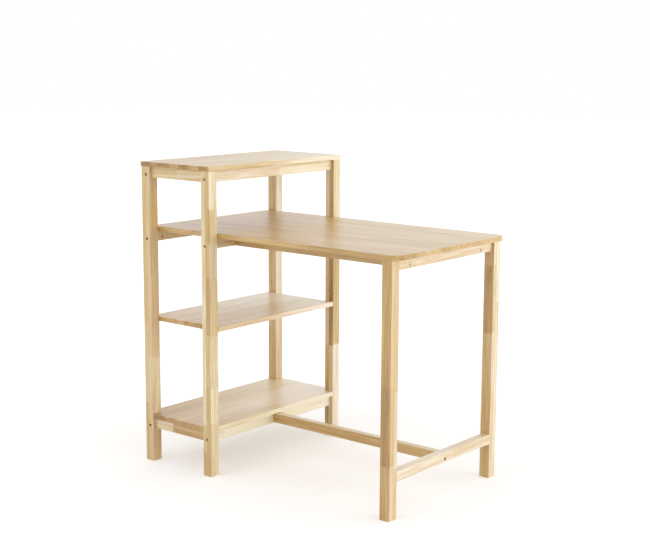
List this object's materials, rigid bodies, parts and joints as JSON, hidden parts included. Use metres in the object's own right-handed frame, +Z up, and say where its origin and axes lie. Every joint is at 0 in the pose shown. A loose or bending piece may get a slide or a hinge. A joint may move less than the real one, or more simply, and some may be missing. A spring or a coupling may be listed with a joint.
{
  "type": "kitchen table with open shelf unit",
  "caption": "Narrow solid-wood kitchen table whose top runs through an open shelf unit at one end and stands on a leg frame with low stretchers at the other.",
  "frame": {"origin": "on the floor, under the middle of the bounding box", "axes": "+X along the table top from the shelf unit to the free end with the legs, +Y along the shelf unit's long side from the near end to the far end, +Z up"},
  "size_m": [0.9624, 0.619, 0.952],
  "materials": {
    "frame_wood": "satin clear lacquer over pale finger-jointed hardwood",
    "board_wood": "satin clear lacquer over edge-glued, finger-jointed hardwood staves",
    "dowel_wood": "unfinished hardwood dowel",
    "fastener_steel": "yellow zinc-plated",
    "bright_steel": "nickel-plated"
  },
  "bodies": {
    "frame": {"bearer_barrel_nuts": "fastener_steel", "bearer_bolts": "bright_steel", "bearer_dowels": "dowel_wood", "bearer_far": "frame_wood", "bearer_near": "frame_wood", "bottom_rail_back": "frame_wood", "bottom_rail_far": "frame_wood", "bottom_rail_front": "frame_wood", "bottom_rail_near": "frame_wood", "bottom_shelf": "board_wood", "bottom_shelf_screws": "fastener_steel", "end_apron": "frame_wood", "end_rail_dowels": "dowel_wood", "end_stretcher": "frame_wood", "frame_barrel_nuts": "fastener_steel", "frame_bolts": "fastener_steel", "leg_dowels": "dowel_wood", "leg_far": "frame_wood", "leg_near": "frame_wood", "long_stretcher": "frame_wood", "post_back_far": "frame_wood", "post_back_near": "frame_wood", "post_front_far": "frame_wood", "post_front_near": "frame_wood", "rail_dowels": "dowel_wood", "shelf_pins": "bright_steel", "stretcher_barrel_nuts": "fastener_steel", "stretcher_bolts": "fastener_steel", "stretcher_dowels": "dowel_wood", "table_rail_back": "frame_wood", "table_rail_front": "frame_wood", "table_top": "board_wood", "table_top_screws": "fastener_steel", "top_board": "board_wood", "top_board_screws": "fastener_steel", "top_rail_back": "frame_wood", "top_rail_far": "frame_wood", "top_rail_front": "frame_wood", "top_rail_near": "frame_wood"},
    "shelf": {"middle_shelf": "board_wood"}
  },
  "joints": [
    {"name": "shelf_lift", "type": "slide", "parent": "frame", "child": "shelf", "axis": [0, 0, 1], "range_m": [0, 0.238]}
  ]
}
